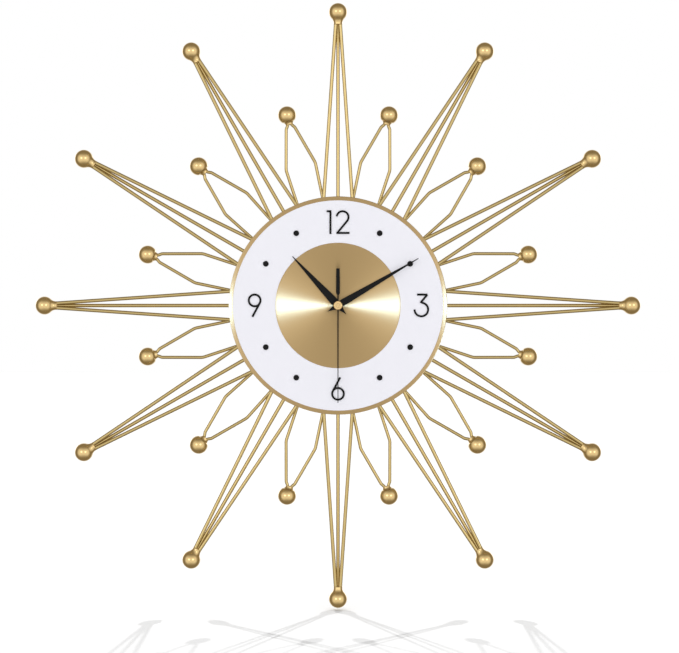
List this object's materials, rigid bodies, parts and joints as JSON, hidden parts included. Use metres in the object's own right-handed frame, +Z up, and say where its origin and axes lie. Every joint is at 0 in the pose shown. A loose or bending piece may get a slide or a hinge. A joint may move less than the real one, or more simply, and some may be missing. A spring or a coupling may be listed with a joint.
{
  "type": "sunburst wall clock",
  "caption": "Gold sunburst wall clock with ball-tipped wire rays and petals, a brushed gold and white dial, black hands and a quartz movement.",
  "frame": {"origin": "on the axis of the hands, in the plane of the wall (the rear face of the movement's cover)", "axes": "+Z up towards 12, +X towards 3 as seen from the front, +Y into the wall (the dial faces -Y)"},
  "size_m": [0.6, 0.0353, 0.6],
  "materials": {
    "ray_gold": "satin",
    "ball_gold": "satin",
    "dial_gold": "brushed",
    "dial_white": "gloss",
    "figure_black": "gloss",
    "hand_black": "satin",
    "cap_gold": "polished",
    "case_black": "matte",
    "bushing_brass": "machined",
    "washer_rubber": "matte",
    "plate_steel": "brushed",
    "sheet_steel": "brushed",
    "battery_label": "gloss",
    "board_green": "gloss",
    "can_chrome": "polished",
    "bobbin_plastic": "matte",
    "winding_copper": "enamelled wire",
    "gear_white": "matte",
    "arbor_brass": "machined"
  },
  "bodies": {
    "clock_body": {"long_ray_01": "ray_gold", "long_ray_02": "ray_gold", "long_ray_03": "ray_gold", "long_ray_04": "ray_gold", "long_ray_05": "ray_gold", "long_ray_06": "ray_gold", "long_ray_07": "ray_gold", "long_ray_08": "ray_gold", "long_ray_09": "ray_gold", "long_ray_10": "ray_gold", "long_ray_11": "ray_gold", "long_ray_12": "ray_gold", "petal_01": "ray_gold", "petal_02": "ray_gold", "petal_03": "ray_gold", "petal_04": "ray_gold", "petal_05": "ray_gold", "petal_06": "ray_gold", "petal_07": "ray_gold", "petal_08": "ray_gold", "petal_09": "ray_gold", "petal_10": "ray_gold", "petal_11": "ray_gold", "petal_12": "ray_gold", "long_ray_balls": "ball_gold", "petal_balls": "ball_gold", "back_disc": "ray_gold", "dial_plate": "dial_gold", "dial_ring": "dial_white", "numeral_12": "figure_black", "numeral_3": "figure_black", "numeral_6": "figure_black", "numeral_9": "figure_black", "hour_dots": "figure_black", "front_case": "case_black", "back_case": "case_black", "threaded_bushing": "bushing_brass", "bushing_nut": "bushing_brass", "rubber_washer": "washer_rubber", "hanger": "plate_steel", "contact_positive": "plate_steel", "contact_negative": "plate_steel", "circuit_board": "board_green", "quartz_crystal": "can_chrome", "coil_bobbin": "bobbin_plastic", "coil_winding": "winding_copper", "stator": "sheet_steel"},
    "minute_hand_body": {"minute_hand": "hand_black", "minute_arbor": "arbor_brass", "centre_wheel": "gear_white"},
    "hour_hand_body": {"hour_hand": "hand_black", "hour_wheel": "gear_white"},
    "second_hand_body": {"second_hand": "hand_black", "second_hand_cap": "cap_gold", "second_wheel": "gear_white"},
    "third_wheel_body": {"third_wheel": "gear_white"},
    "minute_wheel_body": {"minute_wheel": "gear_white"},
    "intermediate_wheel_body": {"intermediate_wheel": "gear_white"},
    "rotor_body": {"rotor": "gear_white"},
    "battery_body": {"battery": "battery_label"}
  },
  "joints": [
    {"name": "minute_hand_turn", "type": "hinge", "parent": "clock_body", "child": "minute_hand_body", "pos_m": [0, -0.0307, 0], "axis": [0, 1, 0], "continuous": true},
    {"name": "hour_hand_turn", "type": "hinge", "parent": "clock_body", "child": "hour_hand_body", "pos_m": [0, -0.0283, 0], "axis": [0, 1, 0], "continuous": true},
    {"name": "second_hand_turn", "type": "hinge", "parent": "clock_body", "child": "second_hand_body", "pos_m": [0, -0.0331, 0], "axis": [0, 1, 0], "continuous": true},
    {"name": "third_wheel_turn", "type": "hinge", "parent": "clock_body", "child": "third_wheel_body", "pos_m": [-0.00889, -0.0062, 0.00746], "axis": [0, 1, 0], "continuous": true},
    {"name": "minute_wheel_turn", "type": "hinge", "parent": "clock_body", "child": "minute_wheel_body", "pos_m": [0.00758, -0.0118, 0.00904], "axis": [0, 1, 0], "continuous": true},
    {"name": "intermediate_wheel_turn", "type": "hinge", "parent": "clock_body", "child": "intermediate_wheel_body", "pos_m": [0.01088, -0.0029, -0.00507], "axis": [0, 1, 0], "continuous": true},
    {"name": "rotor_turn", "type": "hinge", "parent": "clock_body", "child": "rotor_body", "pos_m": [0.01662, -0.0071, -0.00335], "axis": [0, 1, 0], "continuous": true},
    {"name": "battery_slide", "type": "slide", "parent": "clock_body", "child": "battery_body", "axis": [0, 1, 0], "range_m": [0, 0.017]}
  ],
  "couplings": [
    {"joint": "hour_hand_turn", "follows": "minute_hand_turn", "ratio": 0.083333},
    {"joint": "second_hand_turn", "follows": "minute_hand_turn", "ratio": 60},
    {"joint": "third_wheel_turn", "follows": "minute_hand_turn", "ratio": -8},
    {"joint": "minute_wheel_turn", "follows": "minute_hand_turn", "ratio": -0.33333},
    {"joint": "intermediate_wheel_turn", "follows": "minute_hand_turn", "ratio": -360},
    {"joint": "rotor_turn", "follows": "minute_hand_turn", "ratio": 1800}
  ]
}
